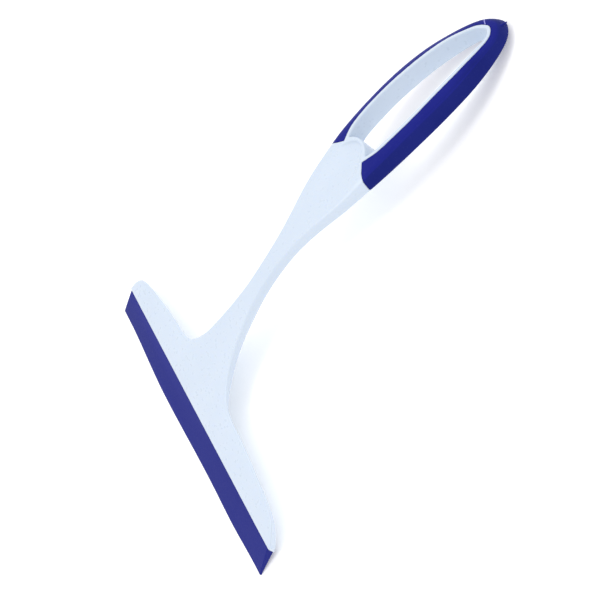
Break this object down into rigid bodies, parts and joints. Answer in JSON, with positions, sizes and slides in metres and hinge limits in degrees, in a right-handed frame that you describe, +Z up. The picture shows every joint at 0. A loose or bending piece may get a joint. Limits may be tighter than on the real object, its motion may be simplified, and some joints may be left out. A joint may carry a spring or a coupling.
{
  "type": "window cleaning squeegee",
  "caption": "Hand squeegee for windows: a curved plastic T handle with an open loop grip, a soft rubber hand wrap and a soft rubber wiping blade along the head.",
  "frame": {"origin": "centre of the overall box, on the surface the squeegee lies on", "axes": "+Z up with the squeegee lying front face up, +Y along the handle from the blade to the loop's round end, +X along the blade"},
  "size_m": [0.2038, 0.2654, 0.0282],
  "materials": {
    "white_plastic": "very pale blue-white injection moulding, smooth satin gloss",
    "grip_rubber": "deep blue soft-touch rubber, fine matt moulded skin",
    "blade_rubber": "deep blue soft rubber, matt, a shade lighter than the grip"
  },
  "bodies": {
    "root": {"body": "white_plastic", "grip": "grip_rubber", "blade": "blade_rubber"}
  },
  "joints": []
}
